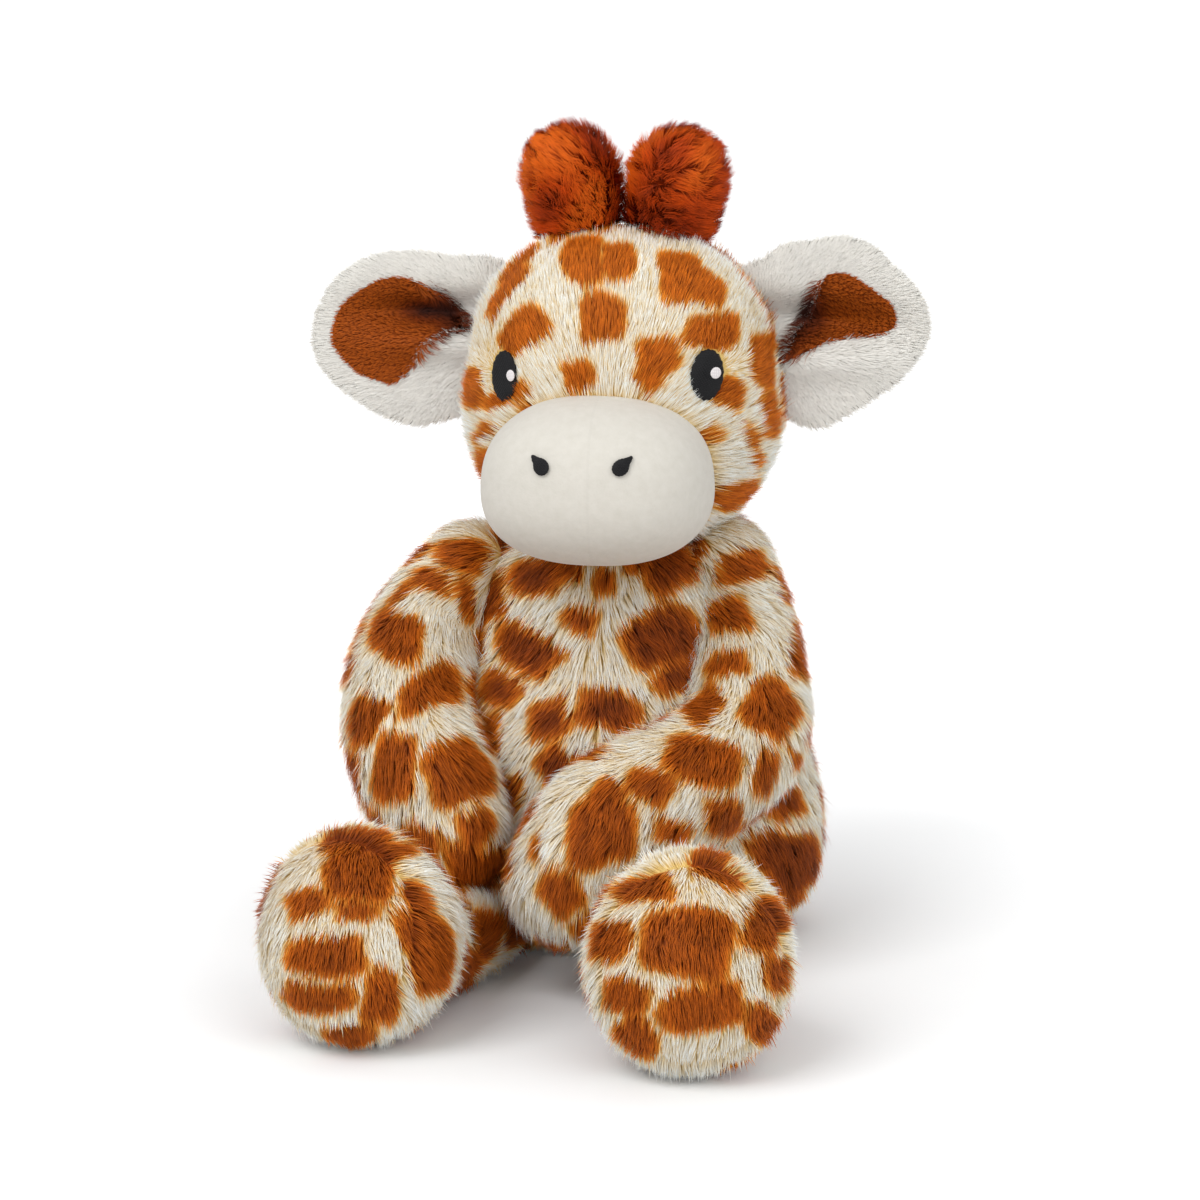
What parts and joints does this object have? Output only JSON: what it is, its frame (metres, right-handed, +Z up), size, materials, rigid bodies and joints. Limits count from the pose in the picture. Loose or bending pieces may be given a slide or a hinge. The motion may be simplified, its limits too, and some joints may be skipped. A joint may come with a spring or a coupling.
{
  "type": "plush giraffe",
  "caption": "Seated soft toy giraffe with long slumped arms, round feet, cupped ears and stubby ossicones, its limbs, head, ears and tail moving at sewn joints.",
  "frame": {"origin": "centre of the flat seat face under the body", "axes": "+Z up out of the seat, -Y the way the toy faces, +X towards the toy's left"},
  "size_m": [0.1828, 0.2475, 0.2482],
  "materials": {
    "spotted_plush": "long pile plush, cream with rust brown spots",
    "fibre_filling": "white polyester fibre",
    "pellet_bag": "plain woven bag of plastic pellets",
    "muzzle_velour": "short pile velour",
    "black_thread": "satin stitch embroidery",
    "white_thread": "satin stitch embroidery",
    "white_plush": "dense soft plush",
    "brown_velour": "short pile velour in rows",
    "rust_plush": "long pile plush"
  },
  "bodies": {
    "torso": {"body_cover": "spotted_plush", "body_filling": "fibre_filling", "seat_pellet_bag": "pellet_bag"},
    "head": {"head_cover": "spotted_plush", "head_filling": "fibre_filling", "muzzle_cover": "muzzle_velour", "muzzle_filling": "fibre_filling", "eye_right": "black_thread", "eye_left": "black_thread", "eye_highlight_right": "white_thread", "eye_highlight_left": "white_thread", "nostril_right": "black_thread", "nostril_left": "black_thread"},
    "right_ear": {"ear_right": "white_plush", "ear_lining_right": "brown_velour"},
    "left_ear": {"ear_left": "white_plush", "ear_lining_left": "brown_velour"},
    "right_ossicone": {"ossicone_cover_right": "rust_plush", "ossicone_filling_right": "fibre_filling"},
    "left_ossicone": {"ossicone_cover_left": "rust_plush", "ossicone_filling_left": "fibre_filling"},
    "right_arm": {"arm_cover_right": "spotted_plush", "arm_filling_right": "fibre_filling"},
    "left_arm": {"arm_cover_left": "spotted_plush", "arm_filling_left": "fibre_filling"},
    "right_leg": {"leg_cover_right": "spotted_plush", "sole_right": "spotted_plush", "leg_filling_right": "fibre_filling"},
    "left_leg": {"leg_cover_left": "spotted_plush", "sole_left": "spotted_plush", "leg_filling_left": "fibre_filling"},
    "tail": {"tail": "rust_plush"}
  },
  "joints": [
    {"name": "neck_nod", "type": "hinge", "parent": "torso", "child": "head", "pos_m": [0.00275, 0, 0.1115], "axis": [1, 0, 0], "range_deg": [-15, 20], "stiffness_Nm_per_rad": 1},
    {"name": "right_shoulder_swing", "type": "hinge", "parent": "torso", "child": "right_arm", "pos_m": [-0.045, -0.0035, 0.108], "axis": [1, 0, 0], "range_deg": [-60, 0]},
    {"name": "left_shoulder_swing", "type": "hinge", "parent": "torso", "child": "left_arm", "pos_m": [0.045, -0.0035, 0.108], "axis": [1, 0, 0], "range_deg": [-45, 0]},
    {"name": "right_hip_swing", "type": "hinge", "parent": "torso", "child": "right_leg", "pos_m": [-0.029, -0.036, 0.015], "axis": [1, 0, 0], "range_deg": [0, 90]},
    {"name": "left_hip_swing", "type": "hinge", "parent": "torso", "child": "left_leg", "pos_m": [0.029, -0.036, 0.015], "axis": [1, 0, 0], "range_deg": [0, 90]},
    {"name": "right_ear_flap", "type": "hinge", "parent": "head", "child": "right_ear", "pos_m": [-0.03878, 0.00719, 0.1841], "axis": [0, 0, 1], "range_deg": [-20, 20], "stiffness_Nm_per_rad": 0.03},
    {"name": "left_ear_flap", "type": "hinge", "parent": "head", "child": "left_ear", "pos_m": [0.05033, 0.00159, 0.1841], "axis": [0, 0, 1], "range_deg": [-20, 20], "stiffness_Nm_per_rad": 0.03},
    {"name": "right_ossicone_bend", "type": "hinge", "parent": "head", "child": "right_ossicone", "pos_m": [-0.00797, 0.00085, 0.21562], "axis": [0.998, -0.0628, 0], "range_deg": [-12, 12], "stiffness_Nm_per_rad": 0.05},
    {"name": "left_ossicone_bend", "type": "hinge", "parent": "head", "child": "left_ossicone", "pos_m": [0.01897, -0.00085, 0.21562], "axis": [0.998, -0.0628, 0], "range_deg": [-12, 12], "stiffness_Nm_per_rad": 0.05},
    {"name": "tail_lift", "type": "hinge", "parent": "torso", "child": "tail", "pos_m": [0, 0.05, 0.042], "axis": [1, 0, 0], "range_deg": [0, 70]}
  ]
}
